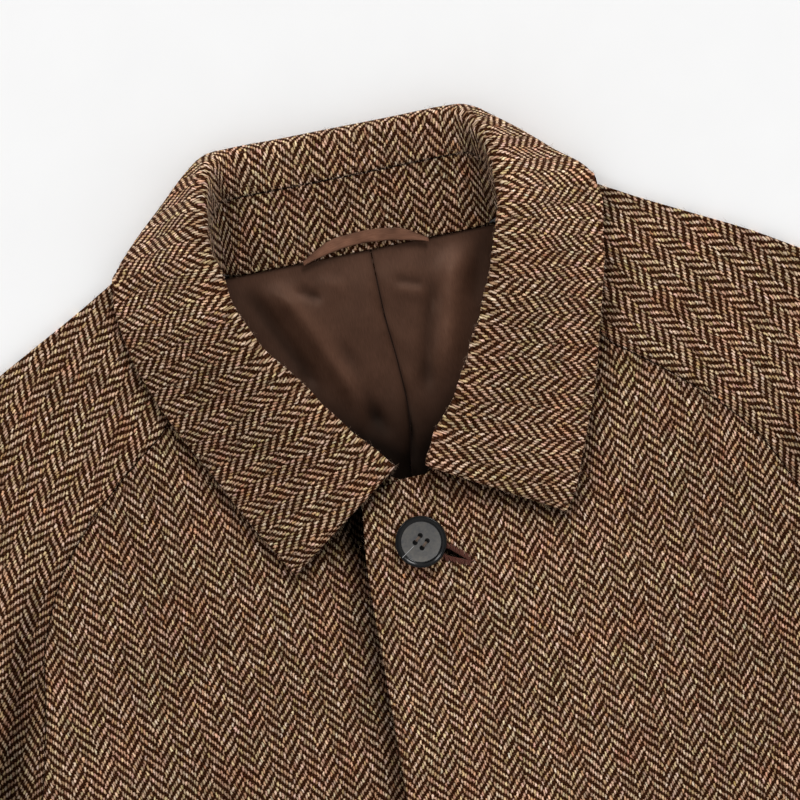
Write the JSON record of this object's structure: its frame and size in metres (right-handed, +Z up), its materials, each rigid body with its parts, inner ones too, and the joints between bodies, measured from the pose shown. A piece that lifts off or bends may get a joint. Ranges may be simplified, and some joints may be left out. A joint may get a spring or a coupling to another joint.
{
  "type": "overcoat",
  "caption": "Wool overcoat with raglan sleeves, turned-down collar and covered front, laid flat on its back with its top button fastened.",
  "frame": {"origin": "centre of the garment's outline, on the surface that it lies on", "axes": "+Y from the hem to the collar, +X to the wearer's left, +Z up out of the front"},
  "size_m": [1.0936, 1.1402, 0.0458],
  "materials": {
    "tweed": "brown and cream herringbone wool",
    "lining": "dark brown satin",
    "loop": "brown satin tape",
    "button": "dark grey and black, polished rim"
  },
  "bodies": {
    "root": {"back": "tweed", "sleeve_left_back": "tweed", "sleeve_right_back": "tweed", "sleeve_left_front": "tweed", "sleeve_right_front": "tweed", "front_right": "tweed", "front_left": "tweed", "lining_back_left": "lining", "lining_back_right": "lining", "collar_stand": "tweed", "collar_fall": "tweed", "hanger_loop": "loop", "button": "button"}
  },
  "joints": []
}
